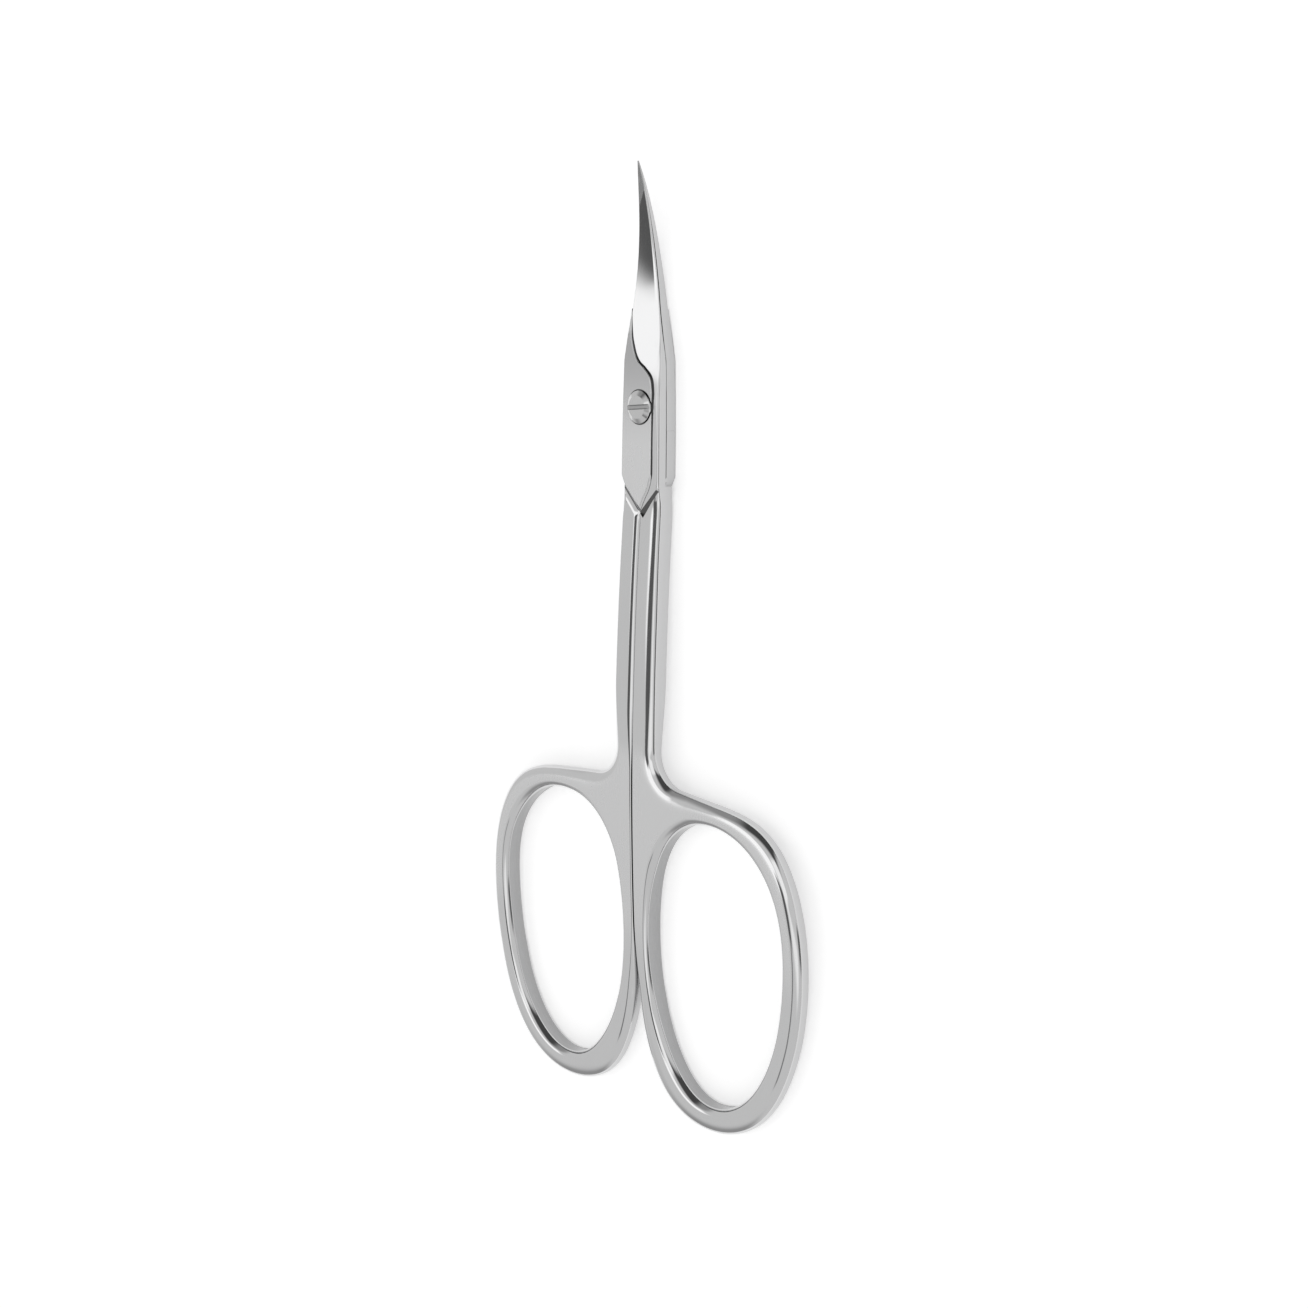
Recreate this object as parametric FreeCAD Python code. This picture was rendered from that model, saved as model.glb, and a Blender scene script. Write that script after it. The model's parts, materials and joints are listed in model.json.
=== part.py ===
"""Curved cuticle scissors, closed: two forged halves turning on a slotted pivot screw.

Millimetres. +Y runs along the scissors to the blade tips, +X is to the right seen from the front, and the
back leaf lies on Z = 0 with the front facing up. The shapes are drawn about the pivot axis, then moved so
that the origin is under the middle of the whole length.
"""
import FreeCAD, Part
import math
import os

V = FreeCAD.Vector

pivot_y = 26.6

# Heights: each half's lap plate carries a raised leaf that stands proud of the handles
handle_thickness = 2.5
leaf_rise = 0.2
joint_thickness = handle_thickness + 2 * leaf_rise
lap_height = joint_thickness / 2
lap_gap = 0.05
lap_face = lap_height + lap_gap / 2
handle_back = leaf_rise
handle_front = handle_back + handle_thickness

# Shank and finger ring, right half
parting_gap = 0.12
parting_x = parting_gap / 2
notch_y = -11.4
shoulder_x, shoulder_y = 2.85, -8.5
crotch_corner = (3.0, -41.1)
crotch_radius = 4.0
ring_top_slope = -0.1
ring_lead = 5.0
ring_touch_y = -60.0
ring_control_points = [(18.1, -42.1), (23.0, -46.1), (25.4, -53.0), (25.7, -61.5), (23.8, -70.3),
                       (19.4, -77.3), (12.2, -80.0), (4.7, -78.0), (0.9, -71.0)]
hole_control_points = [(23.3, -57.6), (22.0, -49.3), (14.5, -43.2), (5.2, -45.4), (1.7, -54.3), (2.0, -66.5),
                       (7.8, -76.6), (15.5, -76.7), (21.5, -69.6)]
outer_round = 0.75
hole_round = 0.5
shoulder_chamfer = 0.3

# Lap plate and leaf, front half
plate_half_width = 2.85
plate_top_y = -2.5
plate_corner_y = -7.5
corner_cut_x = 2.35
shoulder_gap = 0.2
leaf_inset = 0.05
leaf_edge_x = 1.85
leaf_foot_y = -7.6
leaf_foot = (1.55, -8.9)
leaf_bevel_width = 0.6
leaf_sweep_points = [(leaf_edge_x, 0.4), (1.82, 1.9), (1.45, 3.3), (0.5, 4.25), (-0.55, 5.1), (-1.35, 6.6),
                     (-1.7, 9.0)]

# Stations of the ground steel: distance from the pivot, half width, spine, edge and edge bevel
tang_stations = [(-3.0, 2.80, 1.25, 1.25, 0.40), (1.0, 2.73, 1.26, 1.20, 0.40), (5.0, 2.60, 1.33, 0.95, 0.25)]
blade_stations = tang_stations[-1:] + [
    (7.5, 2.10, 1.32, 0.46, 0.10), (10.0, 1.66, 1.20, 0.18, 0.05), (12.5, 1.34, 1.05, 0.12, 0.04),
    (15.0, 1.07, 0.89, 0.10, 0.04), (18.5, 0.76, 0.67, 0.09, 0.03), (21.7, 0.50, 0.47, 0.08, 0.03),
    (24.2, 0.28, 0.28, 0.07, 0.02), (26.0, 0.07, 0.08, 0.05, 0.01)]
spine_bevel = 0.12
blade_dip = 0.3
bend_start = 13.0
bend_radius = 42.0
bend_reach = 30.0

# Pivot screw
head_radius = 1.8
head_rise = 0.42
head_edge = 0.14
head_flat_radius = 1.4
head_gap = 0.03
slot_width = 0.5
slot_depth = 0.26
slot_turn = 5.0
neck_radius = 1.1
neck_clearance = 0.04
thread_radius = 1.0
thread_bite = 0.05
tail_recess = 0.05
tail_chamfer = 0.15


def points_at(pairs, z):
    return [V(x, y, z) for x, y in pairs]


def closed_polygon(points):
    return Part.makePolygon(points + points[:1])


def rounded_corner(start, corner, leaving, radius):
    """Arc that rounds a corner, tangent to the way in from start and to the direction of leaving."""
    back = (start - corner).normalize()
    half_angle = back.getAngle(leaving) / 2
    reach = radius / math.tan(half_angle)
    inward = (back + leaving).normalize()
    middle = corner + inward * (radius / math.sin(half_angle) - radius)
    return Part.Arc(corner + back * reach, middle, corner + leaving * reach)


def edges_on_level(solid, z, wanted):
    """Edges of the solid that lie flat at height z and pass the test."""
    level = [e for e in solid.Edges if abs(e.BoundBox.ZMin - z) < 1e-6 and abs(e.BoundBox.ZMax - z) < 1e-6]
    return [e for e in level if wanted(e)]


def handle():
    """Right shank and finger ring at full thickness, with rounded edges."""
    z = handle_back
    notch = V(parting_x, notch_y, z)
    shoulder = V(shoulder_x, shoulder_y, z)
    ring_top = V(1, ring_top_slope, 0).normalize()
    crotch = rounded_corner(shoulder, V(*crotch_corner, z), ring_top, crotch_radius)
    ring_start, ring_end = crotch.EndPoint, V(parting_x, ring_touch_y, z)
    ring = Part.BSplineCurve()
    ring.buildFromPoles([ring_start, ring_start + ring_top * ring_lead] + points_at(ring_control_points, z)
                        + [ring_end - V(0, ring_lead, 0), ring_end])
    outline = Part.Wire([
        Part.LineSegment(notch, shoulder).toShape(),
        Part.LineSegment(shoulder, crotch.StartPoint).toShape(),
        crotch.toShape(),
        ring.toShape(),
        Part.LineSegment(ring_end, notch).toShape(),
    ])
    hole = Part.BSplineCurve()
    hole.buildFromPoles(points_at(hole_control_points, z), True)
    face = Part.makeFace([outline, Part.Wire([hole.toShape()])], "Part::FaceMakerBullseye")
    solid = face.extrude(V(0, 0, handle_thickness))
    levels = (handle_back, handle_front)
    rims = [e for z in levels for e in edges_on_level(solid, z, lambda e: e.isClosed())]
    solid = solid.makeFillet(hole_round, rims)
    sides = [e for z in levels for e in edges_on_level(solid, z, is_outer_edge)]
    return solid.makeFillet(outer_round, sides).cut(shoulder_wedge())


def shoulder_wedge():
    """What breaks the back edge of the shoulder, where the other half's leaf lies against it."""
    start = V(parting_x, notch_y, handle_back)
    run = V(shoulder_x, shoulder_y, handle_back) - start
    inward = V(run.y, -run.x, 0).normalize()
    corner = closed_polygon([start, start + inward * shoulder_chamfer, start + V(0, 0, shoulder_chamfer)])
    return Part.Face(corner).extrude(run)


def is_outer_edge(edge):
    return not edge.isClosed() and edge.BoundBox.YMin < notch_y - outer_round


def plate_outline(z, inset):
    """Corners of the front lap plate: down its left side, along the other shoulder, up its right side."""
    shoulder_run = V(-shoulder_x + parting_x, shoulder_y - notch_y, 0).normalize()
    clear = V(shoulder_run.y, -shoulder_run.x, 0) * shoulder_gap
    end = V(-parting_x, notch_y, z) + clear
    cut = end + shoulder_run * ((end.x + corner_cut_x) / -shoulder_run.x)
    side = plate_half_width - inset
    return [V(-side, plate_top_y, z), V(-side, plate_corner_y, z), cut, end,
            V(parting_x + shoulder_gap / 2, notch_y + shoulder_gap / 2, z),
            V(shoulder_x, shoulder_y, z), V(side, plate_top_y, z)]


def lap_plate():
    outline = closed_polygon(plate_outline(lap_face, leaf_inset))
    return Part.Face(outline).extrude(V(0, 0, handle_front - lap_face))


def leaf():
    """Raised leaf of the front half, from its foot in the V up to the sweep where the grind begins."""
    z = lap_face
    sweep = Part.BSplineCurve()
    sweep.interpolate(Points=points_at(leaf_sweep_points, z))
    left_top = V(*leaf_sweep_points[-1], z)
    stations = reversed(tang_stations + blade_stations[1:])
    left_side = [V(leaf_inset - half_width, y, z) for y, half_width, *rest in stations if y < left_top.y]
    left_side += plate_outline(z, leaf_inset)[1:4]
    foot = [V(*leaf_foot, z), V(leaf_edge_x, leaf_foot_y, z)]
    path = Part.makePolygon([left_top] + left_side + foot + [V(*leaf_sweep_points[0], z)])
    solid = Part.Face(Part.Wire(path.Edges + [sweep.toShape()])).extrude(V(0, 0, joint_thickness - lap_face))
    bevel = edges_on_level(solid, joint_thickness, is_leaf_foot)
    return solid.makeChamfer(leaf_rise, leaf_bevel_width, bevel)


def is_leaf_foot(edge):
    return edge.BoundBox.YMax < leaf_foot_y and edge.BoundBox.XMax > shoulder_gap


def bend_height(distance):
    """How far the blades have curved to the front at this distance from the pivot."""
    past = max(0.0, distance - bend_start)
    return bend_radius - math.sqrt(bend_radius ** 2 - past ** 2)


def blade(side):
    """Tang and blade with their ground face; side is 1 for the front half and -1 for the back half."""
    steel = ground_steel(tang_stations, side).fuse(ground_steel(blade_stations, side))
    return steel.cut(other_side_of_lap(side))


def ground_steel(stations, side):
    sections = []
    for y, half_width, spine, edge, edge_bevel in stations:
        spine_cut = min(spine_bevel, half_width / 2, spine / 2)
        profile = [(-half_width, -blade_dip), (half_width, -blade_dip), (half_width, edge - edge_bevel),
                   (half_width - edge_bevel, edge), (spine_cut - half_width, spine),
                   (-half_width, spine - spine_cut)]
        base = lap_height + bend_height(y)
        sections.append(closed_polygon([V(side * x, y, base + side * z) for x, z in profile]))
    return Part.makeLoft(sections, True, False)


def other_side_of_lap(side):
    """Everything beyond the lap face, which sweeps round the pivot so that the blades clear when opened."""
    face_z = lap_height + side * lap_gap / 2
    far_z = face_z - side * bend_reach
    mid = (bend_start + bend_reach) / 2
    bend_from = V(bend_start, 0, face_z)
    bend_to = V(bend_reach, 0, face_z + bend_height(bend_reach))
    profile = Part.Wire([
        Part.LineSegment(V(0, 0, face_z), bend_from).toShape(),
        Part.Arc(bend_from, V(mid, 0, face_z + bend_height(mid)), bend_to).toShape(),
        Part.makePolygon([bend_to, V(bend_reach, 0, far_z), V(0, 0, far_z), V(0, 0, face_z)]),
    ])
    return Part.Face(profile).revolve(V(0, 0, 0), V(0, 0, 1), 360)


def turned_over(shape):
    """The same piece turned half round the scissors' long axis, as the back half lies."""
    turned = shape.copy()
    turned.rotate(V(0, 0, lap_height), V(0, 1, 0), 180)
    return turned


def joined(pieces):
    return pieces[0].fuse(pieces[1:]).removeSplitter()


def bore(radius):
    return Part.makeCylinder(radius, joint_thickness * 2, V(0, 0, -joint_thickness / 2))


def front_half():
    return joined([handle(), lap_plate(), leaf(), blade(1)]).cut(bore(neck_radius + neck_clearance))


def back_half():
    body = [turned_over(piece) for piece in (handle(), lap_plate(), leaf())]
    return joined(body + [blade(-1)]).cut(bore(thread_radius - thread_bite))


def pivot_screw():
    """Slotted screw: low bevelled head, plain neck through the front half, thread in the back half."""
    seat = lap_height - lap_gap / 2
    under_head = joint_thickness + head_gap
    top = under_head + head_rise
    profile = [(0, tail_recess), (thread_radius - tail_chamfer, tail_recess),
               (thread_radius, tail_recess + tail_chamfer), (thread_radius, seat), (neck_radius, seat),
               (neck_radius, under_head), (head_radius, under_head), (head_radius, under_head + head_edge),
               (head_flat_radius, top), (0, top)]
    outline = closed_polygon([V(radius, 0, z) for radius, z in profile])
    screw = Part.Face(outline).revolve(V(0, 0, 0), V(0, 0, 1), 360)
    slot = Part.makeBox(4 * head_radius, slot_width, head_rise,
                        V(-2 * head_radius, -slot_width / 2, top - slot_depth))
    slot.rotate(V(0, 0, 0), V(0, 0, 1), slot_turn)
    return screw.cut(slot)


os.makedirs("parts", exist_ok=True)
for make in (front_half, back_half, pivot_screw):
    shape = make()
    shape.translate(V(0, pivot_y, 0))
    box = shape.BoundBox
    print(make.__name__, "valid", shape.isValid(), "solids", len(shape.Solids), f"volume {shape.Volume:.2f}",
          f"{box.XLength:.2f} x {box.YLength:.2f} x {box.ZLength:.2f}, lowest {box.ZMin:.2f}")
    shape.exportStep(f"parts/{make.__name__}.step")
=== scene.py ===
"""Looks of a pair of curved cuticle scissors: two forged steel halves, a slotted screw and a pale studio."""
import json
import math

import bmesh
import bpy
from mathutils import Matrix, Vector


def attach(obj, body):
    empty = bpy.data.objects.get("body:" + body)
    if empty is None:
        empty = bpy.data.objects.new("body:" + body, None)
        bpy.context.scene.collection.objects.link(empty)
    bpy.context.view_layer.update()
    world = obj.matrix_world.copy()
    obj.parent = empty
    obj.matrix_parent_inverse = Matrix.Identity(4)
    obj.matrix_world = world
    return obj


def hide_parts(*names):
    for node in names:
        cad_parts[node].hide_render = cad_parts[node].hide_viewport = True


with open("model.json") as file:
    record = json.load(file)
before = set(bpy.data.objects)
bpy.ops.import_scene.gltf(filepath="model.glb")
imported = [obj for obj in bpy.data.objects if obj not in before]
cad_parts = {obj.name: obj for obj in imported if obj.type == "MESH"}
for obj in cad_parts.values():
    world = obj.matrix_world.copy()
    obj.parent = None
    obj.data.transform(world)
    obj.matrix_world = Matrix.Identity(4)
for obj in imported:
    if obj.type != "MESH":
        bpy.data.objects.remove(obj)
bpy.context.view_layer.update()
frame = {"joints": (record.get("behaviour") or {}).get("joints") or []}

# Shapes are drawn in millimetres about the pivot axis, with the back leaf on Z = 0
MM = 0.001
pivot_y = frame["joints"][0]["pos_m"][1] / MM

# Heights
handle_thickness = 2.5
leaf_rise = 0.2
joint_thickness = handle_thickness + 2 * leaf_rise
lap_height = joint_thickness / 2
lap_gap = 0.13
lap_face = lap_height + lap_gap / 2
handle_back = leaf_rise
handle_front = handle_back + handle_thickness

# Shank and finger ring, right half
parting_x = 0.10
notch_y = -11.4
shoulder_x, shoulder_y = 2.85, -8.5
crotch_corner = (3.0, -41.1)
crotch_radius = 4.0
ring_top_slope = -0.1
ring_lead = 5.0
ring_touch_y = -60.0
ring_control_points = [(18.1, -42.1), (23.0, -46.1), (25.4, -53.0), (25.68, -61.5), (23.8, -70.3),
                       (19.4, -77.3), (12.2, -79.998), (4.7, -78.0), (0.9, -71.0)]
hole_control_points = [(23.3, -57.6), (22.0, -49.3), (14.5, -43.2), (5.2, -45.4), (1.7, -54.3), (2.0, -66.5),
                       (7.8, -76.6), (15.5, -76.7), (21.5, -69.6)]
arch_points = [(-66.0, 0.0), (-60.0, 0.2), (-50.0, 0.62), (-40.0, 0.84), (-30.0, 0.74), (-20.0, 0.44),
               (notch_y, 0.0)]
point_spacing = 0.6
crotch_steps = 14
facet_margin = 0.06
least_miter = 0.3

# Tolerances
touch = 0.01
weld_distance = 1e-4
sliver_size = 1e-5

# Where the handle's outer edge changes its section, along Y from the pivot
parting_reach_x = 1.4
parting_end_y = -66.5
notch_run = 1.0
strip_run = 2.0
back_strip_run = 4.0
soft_range = (-13.0, -24.0)
limb_range = (-30.0, -41.0)
web_range = (-33.0, -41.0)
parting_ring_range = (-57.0, -66.0)

# Rounded edges: lengths along the section from the facet down, each with the tilt reached at its end
arc_steps = 4
ring_arcs = [(0.50, 14), (0.70, 45), (0.80, 90)]
shank_arcs = [(0.40, 19), (0.55, 27), (0.55, 90)]
soft_shank_arcs = [(0.55, 19), (0.70, 27), (0.70, 90)]
parting_arcs = [(0.08, 25), (0.12, 55), (0.12, 90)]
bevel_arcs = [(0.10, 20), (0.35, 27), (0.75, 90)]
strip_arcs = [(0.12, 26), (0.18, 50), (0.20, 90)]
leaf_arcs = [(0.04, 20), (0.05, 50), (0.05, 80)]
foot_arcs = [(0.06, 25), (0.15, 32), (0.14, 36)]
hole_arcs = [(0.35, 20), (0.50, 50), (0.55, 72)]

# Reach of an edge over its limb: the share of the limb's width, then the least and the most
ring_reach = (0.58, 0.7, 2.0)
hole_reach = (0.33, 0.3, 1.1)

# Edges that are smaller than the usual one of their kind, as a share of it
hole_share_back = 0.35
web_share = 0.22
shoulder_share = 0.7

# Lap plate and leaf, front half
plate_half_width = 2.8
plate_top_y = -2.5
plate_corner_y = -7.5
corner_cut_x = 2.35
shoulder_gap = 0.42
leaf_overlap = 0.03
leaf_edge_x = 1.85
leaf_left_points = [(-2.8, -7.5), (-2.76, -3.0), (-2.68, 1.0), (-2.55, 5.0), (-2.07, 7.5), (-1.8, 9.0)]
leaf_sweep_points = [(-1.56, 10.5), (-1.52, 8.8), (-1.3, 6.9), (-0.55, 5.1), (0.5, 4.25), (1.45, 3.3),
                     (1.82, 1.9), (leaf_edge_x, 0.4)]
leaf_point_range = (10.5, 7.0)
leaf_point_drop = 0.2
leaf_foot_points = [(leaf_edge_x, -6.6), (1.82, -7.6), (1.5, -8.75), (0.85, -9.9)]
foot_bevel_range = (-7.0, -8.0)
foot_bevel_x = 0.2
leaf_lift = 0.004
wall_lean = 0.2

# Step between the head and the shank, widest at the notch: across the step and up from the facet
step_profile = [(-0.06, 0.05), (0.0, -0.05), (0.72, -0.5), (0.77, 0.05)]
step_taper = 0.35
step_overruns = (0.1, 0.15)

# Stations of the ground steel: distance from the pivot, half width, spine height, edge height, edge share
steel_stations = [(-7.0, 2.80, 1.235, 1.235, 1.0), (-3.0, 2.806, 1.257, 1.257, 1.0),
                  (1.0, 2.73, 1.27, 1.17, 0.9), (5.0, 2.60, 1.33, 0.93, 0.6),
                  (7.5, 2.10, 1.32, 0.46, 0.35), (10.0, 1.66, 1.20, 0.22, 0.3),
                  (12.5, 1.34, 1.05, 0.18, 0.28), (15.0, 1.07, 0.89, 0.16, 0.26),
                  (18.5, 0.76, 0.67, 0.14, 0.22), (21.7, 0.50, 0.47, 0.12, 0.18),
                  (24.2, 0.28, 0.28, 0.09, 0.12), (26.0, 0.06, 0.07, 0.05, 0.04)]
station_step = 0.5
lap_points = 4
spine_cut = 0.10
spine_break = 0.3
face_points = 8
grind_belly = 0.003
belly_range = (4.0, 9.0)
leaf_cover = 0.08
leaf_cover_range = (5.0, 8.5)
tang_tuck = 0.01
tang_tuck_run = 1.0
lap_closing = 0.8
lap_closing_range = (13.0, 24.0)
bend_start = 11.5
bend_radius = 53.0

# Pivot screw
head_radius = 1.8
head_gap = 0.03
head_rise = 0.42
head_edge = 0.12
head_flat_radius = 1.25
head_seat_depth = 0.12
head_seat_gap = 0.13
under_head = joint_thickness + head_gap
head_top = under_head + head_rise
slot_width = 0.5
slot_depth = 0.26
slot_turn = 5.0
neck_radius = 1.1
neck_clearance = 0.04
thread_radius = 0.985
thread_bore = 1.0
tail_recess = 0.05
tail_chamfer = 0.15
screw_steps = 72
screw_break = 0.035
screw_break_steps = 2
screw_break_angle = 30

# Angles in degrees past which an edge is shaded sharp
half_sharp_angle = 32
screw_sharp_angle = 8

# Camera at the photograph's angle, with clip distances in metres
camera_place = Vector((172.15, 12.98 + pivot_y, 160.79)) * MM
camera_right = Vector((0.680347, 0.012729, -0.732782))
camera_up = Vector((-0.132398, 0.985534, -0.105805))
sensor_width = 36.0
lens = 59.15
clip_range = (0.01, 10.0)

# Studio panels: azimuth from +X, elevation, half width, half height and soft edge in degrees, brightness
panels = [(-122, 4, 24, 24, 10, 0.384), (22, 15, 24, 38, 8, 0.784), (122, 8, 16, 36, 8, 0.36),
          (84, 16, 28, 38, 7, 0.08), (36, 67, 13, 14, 3, 1.24), (164, 68, 10, 20, 2.5, 1.4),
          (-92, 82.4, 8, 9.6, 2.2, 0.128), (-9, 8, 8, 14, 4, 0.16), (-26, 54, 9, 19, 5, 1.16),
          (-100, 62, 3.5, 10, 2, 0.24)]
panel_front = 0.05
tent_level = 0.76

# Floor: its side in metres, the paper's grey and the glow that makes it look white
floor_size = 3.0
paper_grey = 0.85
paper_lift = 0.46

# Grey levels of the steel; a pair is the light and the dark of a grain. The upper leaf, wall, hole wall,
# milled, slot and crevice greys are painted shade, the hole wall's partly its grind
steel_cast = 0.003
polish_greys = (0.665, 0.625)
satin_grey = 0.71
upper_leaf_shade_grey = 0.47
wall_shade_grey = 0.56
hole_wall_shade_greys = (0.43, 0.35)
milled_shade_greys = (0.17, 0.09)
screw_grey = 0.60
slot_shade_grey = 0.42
crevice_shade_grey = 0.03

# Roughness of each bare finish, and what each kind of mark adds to it
polish_roughness = 0.045
patch_roughness = 0.05
scratch_roughness = 0.05
satin_roughness = 0.20
hole_roughness = 0.16
hole_line_roughness = 0.12
milled_roughness = 0.3
tool_mark_roughness = 0.15
head_bevel_roughness = 0.07
head_flat_roughness = 0.12
speck_roughness = 0.06

# Grain: cells per metre along X, Y and Z
fine_grain = (16000, 1500, 16000)
patch_grain = (420, 180, 420)
scratch_grain = (5200, 160, 5200)
hole_lines = (900, 900, 12000)
tool_marks = (9000, 1800, 9000)
speck_grain = (9000, 9000, 9000)

# Bump: depths, the pitch of the turning and shares of the height
polish_depth = 0.0005
hole_line_depth = 0.0005
tool_mark_depth = 0.002
turning_depth = 0.0006
turning_pitch = 0.06
turning_share = 0.25
polish_rise = 0.05
satin_rise = 0.05

# Where a finish or painted shade changes, along Y from the pivot or up Z, and how far the painted shade of a
# crevice reaches
head_range = (-12.0, -11.0)
leaf_top_range = (2.82, 2.87)
leaf_shade_range = (-5.0, 6.5)
web_top_range = (-36.5, -39.0)
web_foot_range = (-62.0, -56.0)
blade_range = (9.8, 10.8)
slot_shade_depths = (0.12, 0.16)
half_shade_reach = 0.25
screw_shade_reach = 0.3

# Where a finish or painted shade changes, by how far the face points up, how open it is to the painted
# crevice shade and how strong the grain is
flat_range = (0.955, 0.99)
wall_shade_range = (0.1, 0.6)
head_flat_range = (0.97, 0.995)
crevice_shade_range = (0.42, 0.86)
crevice_shade_samples = 8
scratch_range = (0.66, 0.74)

# Colour sockets of Blender's Mix node
mix_first, mix_second, mix_result = 6, 7, 2


def blend(low, high, value):
    """Smooth step from 0 at low to 1 at high; low may be the larger."""
    t = min(1.0, max(0.0, (value - low) / (high - low)))
    return t * t * (3 - 2 * t)


def mixed(a, b, share):
    """Section part of the way from a to b."""
    return [(p[0] + (q[0] - p[0]) * share, p[1] + (q[1] - p[1]) * share) for p, q in zip(a, b)]


def scaled(section, factor):
    return [(inset * factor, drop * factor) for inset, drop in section]


def edge_section(arcs):
    """Section of a rounded edge as pairs of inset and drop, from the side wall to the facet."""
    points = [(0.0, 0.0)]
    tilt = 0.0
    for length, end_tilt in arcs:
        run = length / arc_steps
        for step in range(arc_steps):
            middle = math.radians(tilt + (end_tilt - tilt) * (step + 0.5) / arc_steps)
            inset, drop = points[-1]
            points.append((inset + math.cos(middle) * run, drop + math.sin(middle) * run))
        tilt = end_tilt
    reach = points[-1][0]
    return [(reach - inset, drop) for inset, drop in reversed(points)]


ring_section = edge_section(ring_arcs)
shank_section = edge_section(shank_arcs)
soft_shank_section = edge_section(soft_shank_arcs)
parting_section = edge_section(parting_arcs)
bevel_section = edge_section(bevel_arcs)
strip_section = edge_section(strip_arcs)
leaf_section = edge_section(leaf_arcs)
foot_section = edge_section(foot_arcs)
hole_section = edge_section(hole_arcs)
sharp_section = scaled(shank_section, 0.0)
shoulder_section = scaled(shank_section, shoulder_share)


def curve_points(points, kind, closed=False, resolution=18):
    """Points along a smooth curve: a NURBS drawn by control points, or a Bezier through the points."""
    curve = bpy.data.curves.new("outline", "CURVE")
    curve.dimensions = "3D"
    spline = curve.splines.new(kind)
    if kind == "NURBS":
        spline.points.add(len(points) - 1)
        for point, place in zip(spline.points, points):
            point.co = (*place, 0, 1)
        spline.order_u = 4
        spline.use_endpoint_u = not closed
    else:
        spline.bezier_points.add(len(points) - 1)
        for point, place in zip(spline.bezier_points, points):
            point.co = (*place, 0)
            point.handle_left_type = point.handle_right_type = "AUTO"
    spline.use_cyclic_u = closed
    spline.resolution_u = resolution
    holder = bpy.data.objects.new("outline", curve)
    mesh = bpy.data.meshes.new_from_object(holder)
    found = [v.co.xy for v in mesh.vertices]
    bpy.data.objects.remove(holder)
    bpy.data.curves.remove(curve)
    bpy.data.meshes.remove(mesh)
    return found


def straight_points(corners, spacing):
    """Points along the straight runs between corners, without the last corner."""
    found = []
    for start, end in zip(corners, corners[1:]):
        start, end = Vector(start), Vector(end)
        count = max(1, round((end - start).length / spacing))
        found += [start.lerp(end, i / count) for i in range(count)]
    return found


def corner_points(start, corner, leaving, radius, count):
    """Arc that rounds a corner, tangent to the way in from start and to the direction of leaving."""
    back = (start - corner).normalized()
    half_angle = back.angle(leaving) / 2
    centre = corner + (back + leaving).normalized() * (radius / math.sin(half_angle))
    first = corner + back * (radius / math.tan(half_angle)) - centre
    sweep = first.angle_signed(corner + leaving * (radius / math.tan(half_angle)) - centre)
    return [centre + Matrix.Rotation(-sweep * i / count, 2) @ first for i in range(count + 1)]


notch = Vector((parting_x, notch_y))
shoulder = Vector((shoulder_x, shoulder_y))


def handle_line():
    """From the shoulder down the shank, round the crotch and ring, and up the parting line to the notch."""
    ring_way = Vector((1, ring_top_slope)).normalized()
    crotch = corner_points(shoulder, Vector(crotch_corner), ring_way, crotch_radius, crotch_steps)
    ring_end = Vector((parting_x, ring_touch_y))
    control = [crotch[-1], crotch[-1] + ring_way * ring_lead] + [Vector(p) for p in ring_control_points]
    ring = curve_points(control + [ring_end - Vector((0, ring_lead)), ring_end], "NURBS")
    shank = straight_points([shoulder, crotch[0]], point_spacing)
    return shank + crotch[:-1] + ring[:-1] + straight_points([ring_end, notch], point_spacing) + [notch]


def plate_foot():
    """Lower corners of the front lap plate, by the other half's shoulder: at the notch, then at the cut."""
    run = Vector((-shoulder_x + parting_x, shoulder_y - notch_y)).normalized()
    end = Vector((-parting_x, notch_y)) + Vector((run.y, -run.x)) * shoulder_gap
    return end, end + run * ((end.x + corner_cut_x) / -run.x)


def plate_line():
    """From the notch round the lap plate to the shoulder, both left out."""
    end, cut = plate_foot()
    tuck = Vector((leaf_overlap, 0))
    left = plate_half_width - leaf_overlap
    right_top = Vector((plate_half_width, plate_top_y))
    corners = [end + tuck, cut + tuck, (-left, plate_corner_y), (-left, plate_top_y)]
    return [Vector(p) for p in corners] + straight_points([right_top, shoulder], point_spacing)


def distance_to(points, place):
    return min((p - place).length for p in points)


def fitted(section, width, reach):
    """Section drawn out or in so that it covers its share of a limb of this width, within limits."""
    share, least, most = reach
    factor = min(most, max(least, share * width)) / section[-1][0]
    return [(inset * factor, drop * min(1.0, factor)) for inset, drop in section]


def handle_edge(point, side, width):
    """Section of the handle's outer edge at a point; side is 1 for the front facet and -1 for the back.

    width is the distance to the finger hole.
    """
    y = point.y
    on_shoulder = y >= notch_y - touch and point.x < shoulder_x - touch
    on_parting = point.x < parting_reach_x and parting_end_y < y < notch_y - touch
    ring = fitted(ring_section, width, ring_reach)
    if on_parting:
        shank = parting_section if side > 0 else bevel_section
        upper = mixed(shank, scaled(shank_section, web_share), blend(*web_range, y))
        start = blend(notch_y, notch_y - notch_run, y) if side > 0 else 1.0
        return mixed(sharp_section, mixed(upper, ring, blend(*parting_ring_range, y)), start)
    if side > 0 and point.x > plate_half_width - touch and y > shoulder_y - strip_run:
        return mixed(strip_section, shank_section, blend(shoulder_y, shoulder_y - strip_run, y))
    if on_shoulder:
        return sharp_section if side > 0 else shoulder_section
    shank = mixed(shank_section, soft_shank_section, blend(*soft_range, y))
    if side < 0:
        shank = mixed(shoulder_section, strip_section, blend(shoulder_y, shoulder_y - back_strip_run, y))
    return mixed(shank, ring, blend(*limb_range, y))


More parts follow.
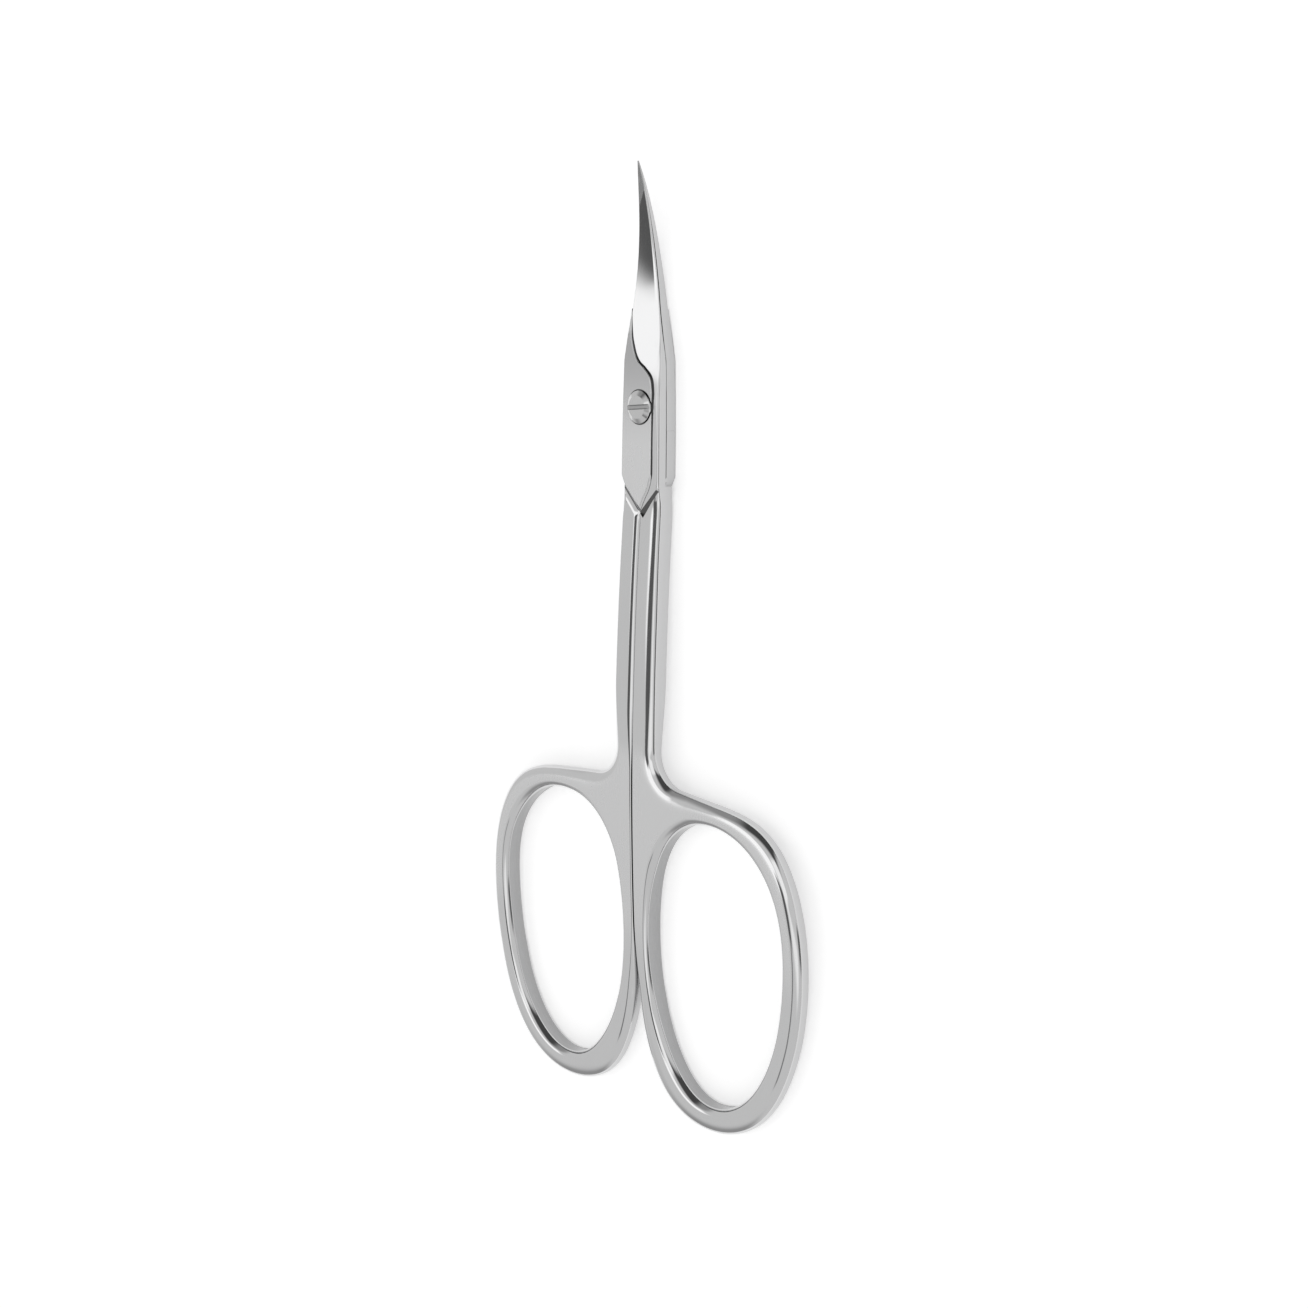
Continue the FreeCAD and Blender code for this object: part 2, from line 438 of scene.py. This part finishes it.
def hole_edge(side, facing, width):
    """Section on the finger hole's edge: wide and domed on the facing side, small on the other."""
    section = fitted(hole_section, width, hole_reach)
    return section if side == facing else scaled(section, hole_share_back)


def inward(points):
    """Way into the material from each point of a clockwise outline, long enough for an even inset."""
    ways = []
    for before, here, after in zip(points[-1:] + points[:-1], points, points[1:] + points[:1]):
        runs = ((here - before).normalized(), (after - here).normalized())
        normals = [Vector((run.y, -run.x)) for run in runs]
        middle = (normals[0] + normals[1]).normalized()
        ways.append(middle / max(least_miter, middle.dot(normals[0])))
    return ways


def add_points(bm, points, z):
    return [bm.verts.new((p.x, p.y, z)) for p in points]


def join_loop(bm, loop):
    """Edges round a closed loop of vertices, made where they are missing."""
    pairs = zip(loop, loop[1:] + loop[:1])
    return [bm.edges.get(pair) or bm.edges.new(pair) for pair in pairs]


def raise_loop(bm, loop, places):
    """Extrudes a closed loop and puts the new loop at the given places."""
    geometry = bmesh.ops.extrude_edge_only(bm, edges=join_loop(bm, loop))["geom"]
    fresh = {g for g in geometry if isinstance(g, bmesh.types.BMVert)}
    raised = [next(e.other_vert(v) for e in v.link_edges if e.other_vert(v) in fresh) for v in loop]
    for vert, place in zip(raised, places):
        vert.co = place
    return raised


def meet_at_corner(points, places, corner, way):
    """Puts inset points that would pass a sharp corner's bisector on the corner's own inset point."""
    for step in (1, -1):
        i = corner + step
        while way.cross(points[i] - points[corner]) * way.cross(places[i].xy - points[corner]) <= 0:
            places[i] = places[corner].copy()
            i += step


def full_width(point):
    return 1.0


def raise_edge(bm, loop, points, level, side, edge, room=full_width, corner=None):
    """Carries a wall loop over its edge to a facet at level, up (side 1) or down (-1); returns the rim.

    room gives the share of the facet margin that fits at a point, and corner the index of a sharp corner.
    """
    ways = inward(points)
    sections = [edge(p, side) for p in points]
    for row in range(len(sections[0])):
        places = [Vector((*(p + way * section[row][0]), level - side * section[row][1]))
                  for p, way, section in zip(points, ways, sections)]
        if corner is not None:
            meet_at_corner(points, places, corner, ways[corner])
        loop = raise_loop(bm, loop, places)
    rim = [Vector((*(p + way * (section[-1][0] + facet_margin * room(p))), level))
           for p, way, section in zip(points, ways, sections)]
    if corner is not None:
        meet_at_corner(points, rim, corner, ways[corner])
    return raise_loop(bm, loop, rim)


def fill(bm, loops):
    """Closes flat loops with a face; a loop inside another stays open."""
    bmesh.ops.remove_doubles(bm, verts=[v for loop in loops for v in loop], dist=weld_distance)
    loops = [[v for v in loop if v.is_valid] for loop in loops]
    edges = [edge for loop in loops for edge in join_loop(bm, loop)]
    bmesh.ops.triangle_fill(bm, use_beauty=True, use_dissolve=False, edges=edges)


def close_mesh(bm):
    bmesh.ops.remove_doubles(bm, verts=bm.verts, dist=weld_distance)
    bmesh.ops.dissolve_degenerate(bm, dist=sliver_size, edges=bm.edges)
    bmesh.ops.recalc_face_normals(bm, faces=bm.faces)
    return bm


def handle(half_side):
    """Right shank and finger ring, with the lap plate that carries the head.

    half_side is -1 for the back half, which is turned over later.
    """
    bm = bmesh.new()
    shared, plate = handle_line(), plate_line()
    hole = curve_points(hole_control_points, "NURBS", closed=True)

    def outer_edge(point, side):
        return handle_edge(point, side, distance_to(hole, point))

    def inner_edge(point, side):
        return hole_edge(side, half_side, distance_to(shared, point))

    across = straight_points([notch, shoulder], point_spacing)[1:]
    shared_loop = add_points(bm, shared, lap_face)
    plate_loop = add_points(bm, plate, lap_face)
    across_loop = add_points(bm, across, lap_face)
    front_line = shared + plate
    back_line = shared + across
    front = [raise_edge(bm, shared_loop + plate_loop, front_line, handle_front, 1, outer_edge)]
    back = [raise_edge(bm, shared_loop + across_loop, back_line, handle_back, -1, outer_edge, corner=0)]
    fill(bm, [[shared_loop[-1]] + plate_loop + [shared_loop[0]] + across_loop[::-1]])
    wall = add_points(bm, hole, lap_face)
    front.append(raise_edge(bm, wall, hole, handle_front, 1, inner_edge))
    back.append(raise_edge(bm, wall, hole, handle_back, -1, inner_edge))
    # The hole walls take the ground steel, darker partly as painted shade
    for face in {face for vert in wall for face in vert.link_faces}:
        face.material_index = 1
    fill(bm, front)
    fill(bm, back)
    return close_mesh(bm)


def leaf_edge(point, side):
    """Section of the leaf's edge: a fine rounding, and a wider bevel round its foot."""
    at_foot = blend(*foot_bevel_range, point.y) if point.x > foot_bevel_x else 0.0
    return scaled(mixed(leaf_section, foot_section, at_foot), leaf_room(point))


def leaf_room(point):
    """Shrinks the leaf's edges towards its pointed upper end."""
    return blend(*leaf_point_range, point.y)


def leaf():
    """Raised leaf of the front half, from its foot in the V up to the sweep where the grind begins."""
    bm = bmesh.new()
    end, cut = plate_foot()
    left = straight_points([end, cut] + leaf_left_points + leaf_sweep_points[:1], 2 * point_spacing)
    sweep = curve_points(leaf_sweep_points, "BEZIER", resolution=12)
    foot = curve_points(leaf_foot_points + [tuple(end)], "BEZIER", resolution=10)
    points = left + sweep + straight_points([sweep[-1], foot[0]], 2 * point_spacing)[1:] + foot[:-1]
    base = add_points(bm, points, lap_face + leaf_lift)
    fill(bm, [base])
    rim = raise_edge(bm, base, points, joint_thickness, 1, leaf_edge, leaf_room, corner=0)
    fill(bm, [rim])
    for vert in bm.verts:
        if vert.co.z > handle_front:
            vert.co.z -= leaf_point_drop * (1 - leaf_room(vert.co))
    close_mesh(bm)
    # Painted shade: the leaf's right wall takes the near-black milled steel
    for face in bm.faces:
        if abs(face.normal.z) < wall_lean and face.normal.x > 0:
            face.material_index = 1
    return bm


def bend_height(distance):
    """How far the blades have curved to the front at this distance from the pivot."""
    past = max(0.0, distance - bend_start)
    return bend_radius - math.sqrt(bend_radius ** 2 - past ** 2)


def smooth_stations():
    """Stations every station_step along the steel, on smooth curves through the given ones."""
    rows = []
    ys = [station[0] for station in steel_stations]
    columns = [curve_points([(y, value) for y, value in zip(ys, column)], "BEZIER", resolution=10)
               for column in list(zip(*steel_stations))[1:]]
    count = round((ys[-1] - ys[0]) / station_step)
    for i in range(count + 1):
        y = ys[0] + (ys[-1] - ys[0]) * i / count
        rows.append((y, *(value_at(column, y) for column in columns)))
    return rows


def value_at(line, x):
    """Height of a drawn line above x."""
    for a, b in zip(line, line[1:]):
        if a.x <= x <= b.x:
            return a.y + (b.y - a.y) * (x - a.x) / (b.x - a.x)
    return line[-1].y


def steel_profile(y, half_width, spine, edge, edge_share):
    """Section of the tang and blade, anticlockwise from the spine's foot.

    A point is its x and its height above the lap plane, or None for the height on the lap face.
    """
    left = leaf_cover * (1 - blend(*leaf_cover_range, y)) - half_width
    lap = [(left + (half_width - left) * i / lap_points, None) for i in range(lap_points + 1)]
    edge_line = [(half_width - inset, edge - drop) for inset, drop in scaled(strip_section, edge_share)]
    cut = min(spine_cut, half_width / 2, spine / 3)
    broken = cut * spine_break
    face_end = edge_line[-1]
    face = []
    for i in range(1, face_points):
        share = i / face_points
        x = face_end[0] + (left + cut - face_end[0]) * share
        belly = grind_belly * blend(*belly_range, y) * half_width * 4 * share * (1 - share)
        face.append((x, face_end[1] + (spine - face_end[1]) * share + belly))
    back = [(left + cut, spine), (left + broken, spine - broken), (left, spine - cut)]
    return lap + edge_line + face + back


def lap_gap_at(y):
    """Gap between the blades, closing towards their tips."""
    return lap_gap * (1 - lap_closing * blend(*lap_closing_range, y))


def blade(side):
    """Tang and blade with their ground face; side is 1 for the front half and -1 for the back half."""
    bm = bmesh.new()
    loop = None
    for y, *sizes in smooth_stations():
        tucked = tang_tuck * (1 - blend(plate_top_y, plate_top_y + tang_tuck_run, y))
        places = []
        for x, height in steel_profile(y, *sizes):
            lap_z = lap_height + side * (lap_gap_at(y) / 2 + tucked) + bend_height(math.hypot(x, y))
            z = lap_z if height is None else lap_height + side * height + bend_height(y)
            places.append(Vector((side * x, y, max(z, lap_z) if side > 0 else min(z, lap_z))))
        if loop is None:
            loop = [bm.verts.new(place) for place in places]
            fill(bm, [loop])
        else:
            loop = raise_loop(bm, loop, places)
    fill(bm, [loop])
    return close_mesh(bm)


def step_cut():
    """What is cut away between the head and the front of the shank, tapering towards the shoulder."""
    bm = bmesh.new()
    run = (shoulder - notch).normalized()
    across = Vector((run.y, -run.x))
    ends = []
    before, beyond = step_overruns
    for place, size in ((notch - run * before, 1.0), (shoulder + run * beyond, step_taper)):
        points = [place + across * (far * size) for far, rise in step_profile]
        ends.append([bm.verts.new((*p, handle_front + (rise if rise > 0 else rise * size)))
                     for p, (far, rise) in zip(points, step_profile)])
    edges = [edge for end in ends for edge in join_loop(bm, end)]
    bmesh.ops.bridge_loops(bm, edges=edges)
    fill(bm, ends[:1])
    fill(bm, ends[1:])
    return close_mesh(bm)


def cylinder(radius, depth, middle):
    """Upright cylinder on the pivot axis, with its middle at this height."""
    bm = bmesh.new()
    bmesh.ops.create_cone(bm, cap_ends=True, segments=screw_steps, radius1=radius, radius2=radius,
                          depth=depth, matrix=Matrix.Translation((0, 0, middle)))
    return close_mesh(bm)


def bore(radius):
    return cylinder(radius, 3 * joint_thickness, lap_height)


def head_seat():
    """Shallow round recess in the front leaf that the screw's head sits in."""
    middle = joint_thickness - head_seat_depth + head_radius
    return cylinder(head_radius + head_seat_gap, 2 * head_radius, middle)


def turned_over(bm):
    """The same shape turned half round the scissors' long axis, as the back half lies."""
    bmesh.ops.rotate(bm, cent=(0, 0, lap_height), matrix=Matrix.Rotation(math.pi, 3, "Y"), verts=bm.verts)
    return bm


def make_object(bm, name, *materials):
    """Object of the bmesh, still in millimetres about the pivot."""
    mesh = bpy.data.meshes.new(name)
    bm.to_mesh(mesh)
    bm.free()
    for material in materials:
        mesh.materials.append(material)
    piece = bpy.data.objects.new(name, mesh)
    bpy.context.scene.collection.objects.link(piece)
    return piece


def apply_modifiers(piece):
    graph = bpy.context.evaluated_depsgraph_get()
    mesh = bpy.data.meshes.new_from_object(piece.evaluated_get(graph))
    old = piece.data
    piece.modifiers.clear()
    piece.data = mesh
    bpy.data.meshes.remove(old)


def combine(piece, others, operation):
    """Joins the others to a piece, or cuts them from it, and removes them."""
    for other in others:
        modifier = piece.modifiers.new("combine", "BOOLEAN")
        modifier.operation = operation
        modifier.solver = "EXACT"
        modifier.material_mode = "TRANSFER"
        modifier.object = other
        apply_modifiers(piece)
        mesh = other.data
        bpy.data.objects.remove(other)
        bpy.data.meshes.remove(mesh)
    return piece


def arch(piece):
    """Lifts the shanks and the tops of the rings, which stand in a slight arch to the front."""
    line = curve_points(arch_points, "BEZIER", resolution=8)
    bm = bmesh.new()
    bm.from_mesh(piece.data)
    for vert in bm.verts:
        if line[0].x < vert.co.y < line[-1].x:
            vert.co.z += value_at(line, vert.co.y)
    bm.to_mesh(piece.data)
    bm.free()


def settle(piece, name, sharp_angle):
    """Puts a finished piece into metres and the shared frame, shaded smooth between its sharp edges."""
    piece.name = piece.data.name = name
    bm = bmesh.new()
    bm.from_mesh(piece.data)
    bmesh.ops.remove_doubles(bm, verts=bm.verts, dist=2 * weld_distance)
    bmesh.ops.dissolve_degenerate(bm, dist=weld_distance, edges=bm.edges)
    bmesh.ops.translate(bm, verts=bm.verts, vec=(0, pivot_y, 0))
    bmesh.ops.scale(bm, verts=bm.verts, vec=(MM, MM, MM))
    for face in bm.faces:
        face.smooth = True
    bm.to_mesh(piece.data)
    bm.free()
    piece.data.set_sharp_from_angle(angle=math.radians(sharp_angle))
    modifier = piece.modifiers.new("even shading", "WEIGHTED_NORMAL")
    modifier.keep_sharp = True
    return piece


def half(name, side, polished, ground_shaded, shaded_milled):
    """One half: shank and ring, lap plate, leaf and blade in one piece."""
    turn = turned_over if side < 0 else (lambda bm: bm)
    body = make_object(turn(handle(side)), "handle", polished, ground_shaded)
    head = [make_object(blade(side), "blade", polished),
            make_object(turn(leaf()), "leaf", polished, shaded_milled)]
    combine(body, head, "UNION")
    hole = neck_radius + neck_clearance if side > 0 else thread_bore
    # Painted shade: the cut faces of the step, bore and seat take the near-black milled steel
    cuts = [make_object(turn(step_cut()), "step", shaded_milled), make_object(bore(hole), "bore", shaded_milled)]
    if side > 0:
        cuts.append(make_object(head_seat(), "seat", shaded_milled))
    combine(body, cuts, "DIFFERENCE")
    arch(body)
    return settle(body, name, half_sharp_angle)


def screw(steel):
    """Slotted screw: low bevelled head, plain neck through the front half, thread in the back half."""
    neck_foot = lap_height - lap_gap / 2
    neck_top = under_head - head_seat_depth
    profile = [(0, tail_recess), (thread_radius - tail_chamfer, tail_recess),
               (thread_radius, tail_recess + tail_chamfer), (thread_radius, neck_foot),
               (neck_radius, neck_foot), (neck_radius, neck_top), (head_radius, neck_top),
               (head_radius, under_head + head_edge), (head_flat_radius, head_top), (0, head_top)]
    bm = bmesh.new()
    verts = [bm.verts.new((radius, 0, z)) for radius, z in profile]
    edges = [bm.edges.new(pair) for pair in zip(verts, verts[1:])]
    bmesh.ops.spin(bm, geom=verts + edges, cent=(0, 0, 0), axis=(0, 0, 1), angle=2 * math.pi,
                   steps=screw_steps, use_merge=True)
    piece = make_object(close_mesh(bm), "screw", steel)
    bm = bmesh.new()
    bmesh.ops.create_cube(bm, size=1.0)
    bmesh.ops.scale(bm, vec=(4 * head_radius, slot_width, 2 * slot_depth), verts=bm.verts)
    turn = Matrix.Rotation(math.radians(slot_turn), 3, "Z")
    bmesh.ops.rotate(bm, cent=(0, 0, 0), matrix=turn, verts=bm.verts)
    bmesh.ops.translate(bm, vec=(0, 0, head_top), verts=bm.verts)
    combine(piece, [make_object(bm, "slot", steel)], "DIFFERENCE")
    modifier = piece.modifiers.new("broken edges", "BEVEL")
    modifier.width = screw_break
    modifier.segments = screw_break_steps
    modifier.limit_method = "ANGLE"
    modifier.angle_limit = math.radians(screw_break_angle)
    apply_modifiers(piece)
    return settle(piece, "slotted_screw", screw_sharp_angle)


def direction(azimuth, elevation):
    """Unit vector from degrees round Z, counted from +X, and degrees above the floor."""
    a, e = math.radians(azimuth), math.radians(elevation)
    return Vector((math.cos(a) * math.cos(e), math.sin(a) * math.cos(e), math.sin(e)))


def add_camera():
    camera = bpy.data.cameras.new("camera")
    camera.sensor_width = sensor_width
    camera.lens = lens
    camera.clip_start, camera.clip_end = clip_range
    holder = bpy.data.objects.new("camera", camera)
    bpy.context.scene.collection.objects.link(holder)
    right, up = camera_right.normalized(), camera_up.normalized()
    turn = Matrix((right, up, right.cross(up))).transposed()
    holder.matrix_world = Matrix.Translation(camera_place) @ turn.to_4x4()
    bpy.context.scene.camera = holder


class Nodes:
    """Short way to add and link the nodes of a material or world."""

    def __init__(self, tree):
        self.tree = tree
        tree.nodes.clear()

    def add(self, kind, inputs=None, **settings):
        node = self.tree.nodes.new(kind)
        for key, value in settings.items():
            setattr(node, key, value)
        for key, value in (inputs or {}).items():
            if isinstance(value, bpy.types.NodeSocket):
                self.tree.links.new(value, node.inputs[key])
            else:
                node.inputs[key].default_value = value
        return node

    def math(self, operation, a, b=0.0, clamp=False):
        return self.add("ShaderNodeMath", {0: a, 1: b}, operation=operation, use_clamp=clamp).outputs[0]

    def dot(self, vector, fixed):
        node = self.add("ShaderNodeVectorMath", {0: vector, 1: tuple(fixed)}, operation="DOT_PRODUCT")
        return node.outputs["Value"]

    def ramp(self, value, low, high):
        """Smooth step from 0 at low to 1 at high."""
        node = self.add("ShaderNodeMapRange", {"Value": value, "From Min": low, "From Max": high},
                        interpolation_type="SMOOTHSTEP")
        return node.outputs["Result"]

    def ramp_mm(self, value, limits):
        """Smooth step between two places given in millimetres."""
        return self.ramp(value, *(limit * MM for limit in limits))

    def total(self, start, *parts):
        """A value and, added to it, each part's socket times its amount."""
        for socket, amount in parts:
            start = self.math("ADD", start, self.math("MULTIPLY", socket, amount))
        return start


def new_material(name):
    material = bpy.data.materials.new(name)
    material.use_nodes = True
    return material, Nodes(material.node_tree)


def studio_world():
    """Even white tent with a few large panels, all at a distance; the camera sees plain white."""
    world = bpy.data.worlds.new("studio")
    world.use_nodes = True
    bpy.context.scene.world = world
    nodes = Nodes(world.node_tree)
    way = nodes.add("ShaderNodeTexCoord").outputs["Generated"]
    level = tent_level
    for azimuth, elevation, half_width, half_height, soft, brightness in panels:
        middle = direction(azimuth, elevation)
        side = direction(azimuth + 90, 0)
        above = middle.cross(side)
        facing = nodes.dot(way, middle)
        inside = nodes.ramp(facing, 0.0, panel_front)
        for axis, half_size in ((side, half_width), (above, half_height)):
            reach = math.sin(math.radians(half_size))
            margin = math.sin(math.radians(soft))
            off = nodes.math("ABSOLUTE", nodes.dot(way, axis))
            inside = nodes.math("MULTIPLY", inside, nodes.ramp(off, reach + margin, reach - margin))
        change = nodes.math("SUBTRACT", brightness, level)
        level = nodes.math("ADD", level, nodes.math("MULTIPLY", change, inside))
    path = nodes.add("ShaderNodeLightPath").outputs
    seen = nodes.math("MULTIPLY", nodes.math("SUBTRACT", 1.0, level), path["Is Camera Ray"])
    shown = nodes.math("ADD", level, seen)
    background = nodes.add("ShaderNodeBackground", {"Color": (1, 1, 1, 1), "Strength": shown})
    nodes.add("ShaderNodeOutputWorld", {"Surface": background.outputs[0]})


def white_floor():
    """White paper that the camera and the steel see as plain white, with the scissors' shadow on it."""
    material, nodes = new_material("white_paper")
    path = nodes.add("ShaderNodeLightPath").outputs
    seen = nodes.math("ADD", path["Is Camera Ray"], path["Is Glossy Ray"])
    seen = nodes.math("ADD", seen, path["Is Transmission Ray"], clamp=True)
    lift = nodes.math("MULTIPLY", seen, paper_lift)
    paper = nodes.add("ShaderNodeBsdfDiffuse", {"Color": (*grey(paper_grey), 1)})
    glow = nodes.add("ShaderNodeEmission", {"Strength": lift})
    both = nodes.add("ShaderNodeAddShader", {0: paper.outputs[0], 1: glow.outputs[0]})
    nodes.add("ShaderNodeOutputMaterial", {"Surface": both.outputs[0]})
    bm = bmesh.new()
    bmesh.ops.create_grid(bm, x_segments=1, y_segments=1, size=floor_size / 2)
    floor = make_object(bm, "floor", material)


def grey(level, cast=0.0):
    """Grey of this level, with a slight blue cast if one is given."""
    return (level, level, level + cast)


def unshaded_share(nodes, reach):
    """1 on open surfaces, falling to 0 deep in gaps and corners narrower than reach, where the finishes
    paint dark shade.
    """
    node = nodes.add("ShaderNodeAmbientOcclusion", {"Distance": reach * MM}, samples=crevice_shade_samples)
    return nodes.ramp(node.outputs["AO"], *crevice_shade_range)


def grain(nodes, place, scale, detail=3.0):
    """Noise with this many cells per metre along X, Y and Z."""
    stretched = nodes.add("ShaderNodeMapping", {"Vector": place, "Scale": scale})
    inputs = {"Vector": stretched.outputs[0], "Scale": 1.0, "Detail": detail}
    return nodes.add("ShaderNodeTexNoise", inputs).outputs["Fac"]


def shade(nodes, at_one, at_zero, share):
    """Colour that goes from at_zero to at_one, which may be a socket, with the share."""
    if not isinstance(at_one, bpy.types.NodeSocket):
        at_one = (*at_one, 1)
    inputs = {"Factor": share, mix_first: (*at_zero, 1), mix_second: at_one}
    return nodes.add("ShaderNodeMix", inputs, data_type="RGBA").outputs[mix_result]


def finish(material, nodes, colour, roughness, height, depth):
    """Metal of this colour, roughness and bump; depth is the bump's, in millimetres."""
    bump = nodes.add("ShaderNodeBump", {"Height": height, "Strength": 1.0, "Distance": depth * MM})
    surface = {"Base Color": colour, "Metallic": 1.0, "Roughness": roughness, "Normal": bump.outputs[0]}
    shader = nodes.add("ShaderNodeBsdfPrincipled", surface)
    nodes.add("ShaderNodeOutputMaterial", {"Surface": shader.outputs[0]})
    return material


def forged_finish():
    """Polished steel, satin on the leaf and on the flat webs between the rings, with painted shade: near
    black in the crevices, darker on the walls and undersides and darker on the leaf's upper part.
    """
    material, nodes = new_material("polished_steel")
    texture = nodes.add("ShaderNodeTexCoord").outputs
    place = texture["Object"]
    axes = nodes.add("ShaderNodeSeparateXYZ", {0: place}).outputs
    facing = nodes.add("ShaderNodeSeparateXYZ", {0: texture["Normal"]}).outputs["Z"]
    along = nodes.math("SUBTRACT", axes["Y"], pivot_y * MM)
    on_head = nodes.ramp_mm(along, head_range)
    on_leaf = nodes.math("MULTIPLY", nodes.ramp_mm(axes["Z"], leaf_top_range), on_head)
    flat = nodes.ramp(facing, *flat_range)
    beside_holes = nodes.math("MULTIPLY", nodes.ramp_mm(along, web_top_range),
                              nodes.ramp_mm(along, web_foot_range))
    satin = nodes.math("MAXIMUM", on_leaf, nodes.math("MULTIPLY", flat, beside_holes))
    fine = grain(nodes, place, fine_grain)
    patches = grain(nodes, place, patch_grain, detail=4.0)
    scratches = nodes.ramp(grain(nodes, place, scratch_grain, detail=2.0), *scratch_range)
    roughness = nodes.total(polish_roughness, (patches, patch_roughness), (scratches, scratch_roughness),
                            (satin, satin_roughness))
    tone = nodes.math("ADD", nodes.math("MULTIPLY", patches, 0.5), nodes.math("MULTIPLY", fine, 0.5))
    light, dark = (grey(level, steel_cast) for level in polish_greys)
    colour = shade(nodes, light, dark, tone)
    colour = shade(nodes, colour, grey(satin_grey, steel_cast), nodes.math("SUBTRACT", 1.0, satin))
    # Painted shade: the leaf's top face darker towards its upper end
    leaf_shade = nodes.math("MULTIPLY", on_leaf, nodes.ramp_mm(along, leaf_shade_range))
    lower_leaf = nodes.math("SUBTRACT", 1.0, leaf_shade)
    colour = shade(nodes, colour, grey(upper_leaf_shade_grey, steel_cast), lower_leaf)
    # Painted shade: walls and undersides darker the further they turn from facing up
    colour = shade(nodes, colour, grey(wall_shade_grey, steel_cast), nodes.ramp(facing, *wall_shade_range))
    on_blade = nodes.ramp_mm(along, blade_range)
    unshaded = nodes.math("MAXIMUM", unshaded_share(nodes, half_shade_reach), on_blade)
    # Painted shade: near black in gaps, corners and crevices, left off the blade
    colour = shade(nodes, colour, grey(crevice_shade_grey), unshaded)
    rise = nodes.math("MULTIPLY", fine, nodes.total(polish_rise, (satin, satin_rise)))
    return finish(material, nodes, colour, roughness, rise, polish_depth)


def ground_shaded_finish():
    """Ground steel of the finger holes' walls with lines round the hole, its grey darker than the polish
    partly for the grind and partly as painted shade inside the holes.
    """
    material, nodes = new_material("ground_shaded_steel")
    lines = grain(nodes, nodes.add("ShaderNodeTexCoord").outputs["Object"], hole_lines)
    light, dark = (grey(level, steel_cast) for level in hole_wall_shade_greys)
    colour = shade(nodes, light, dark, lines)
    roughness = nodes.total(hole_roughness, (lines, hole_line_roughness))
    return finish(material, nodes, colour, roughness, lines, hole_line_depth)


def shaded_milled_finish():
    """Near-black steel of the step, the leaf's wall, the bores and the seat, with tool marks; the near black
    is painted shade for these narrow walls and recesses.
    """
    material, nodes = new_material("shaded_milled_steel")
    marks = grain(nodes, nodes.add("ShaderNodeTexCoord").outputs["Object"], tool_marks)
    light, dark = (grey(level) for level in milled_shade_greys)
    colour = shade(nodes, light, dark, marks)
    roughness = nodes.total(milled_roughness, (marks, tool_mark_roughness))
    return finish(material, nodes, colour, roughness, marks, tool_mark_depth)


def screw_finish():
    """Turned steel: satin on the flat of the head, polished on the bevel, with painted shade on the slot's
    floor, in its corners and in the gap round the head.
    """
    material, nodes = new_material("turned_steel")
    texture = nodes.add("ShaderNodeTexCoord").outputs
    axes = nodes.add("ShaderNodeSeparateXYZ", {0: texture["Object"]}).outputs
    facing = nodes.add("ShaderNodeSeparateXYZ", {0: texture["Normal"]}).outputs["Z"]
    along = nodes.math("SUBTRACT", axes["Y"], pivot_y * MM)
    squares = [nodes.math("MULTIPLY", offset, offset) for offset in (axes["X"], along)]
    radius = nodes.math("SQRT", nodes.math("ADD", *squares))
    turning = nodes.math("SINE", nodes.math("MULTIPLY", radius, 2 * math.pi / (turning_pitch * MM)))
    flat = nodes.ramp(facing, *head_flat_range)
    speck = grain(nodes, texture["Object"], speck_grain)
    below_top = nodes.ramp_mm(axes["Z"], [head_top - depth for depth in slot_shade_depths])
    on_head = nodes.ramp_mm(axes["Z"], (joint_thickness, under_head))
    in_slot = nodes.math("MULTIPLY", nodes.math("MULTIPLY", below_top, flat), on_head)
    roughness = nodes.total(head_bevel_roughness, (flat, head_flat_roughness), (speck, speck_roughness))
    # Painted shade: the slot's floor darker than the head
    colour = shade(nodes, grey(slot_shade_grey), grey(screw_grey), in_slot)
    # Painted shade: near black in the slot's corners and in the gap round the head
    colour = shade(nodes, colour, grey(crevice_shade_grey), unshaded_share(nodes, screw_shade_reach))
    height = nodes.math("ADD", nodes.math("MULTIPLY", turning, turning_share), speck)
    return finish(material, nodes, colour, roughness, height, turning_depth)


bpy.context.scene.view_settings.view_transform = "Standard"
add_camera()
studio_world()
white_floor()
polished_steel, ground_shaded_steel, shaded_milled_steel = forged_finish(), ground_shaded_finish(), shaded_milled_finish()
screw_steel = screw_finish()

front = half("front_scissor_half", 1, polished_steel, ground_shaded_steel, shaded_milled_steel)
back = half("back_scissor_half", -1, polished_steel, ground_shaded_steel, shaded_milled_steel)
pivot = screw(screw_steel)
for piece, body, node, slot in ((front, "front", "front_half", "forged_steel"),
                                (back, "back", "back_half", "forged_steel"),
                                (pivot, "back", "pivot_screw", "screw_steel")):
    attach(piece, body)
    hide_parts(node)
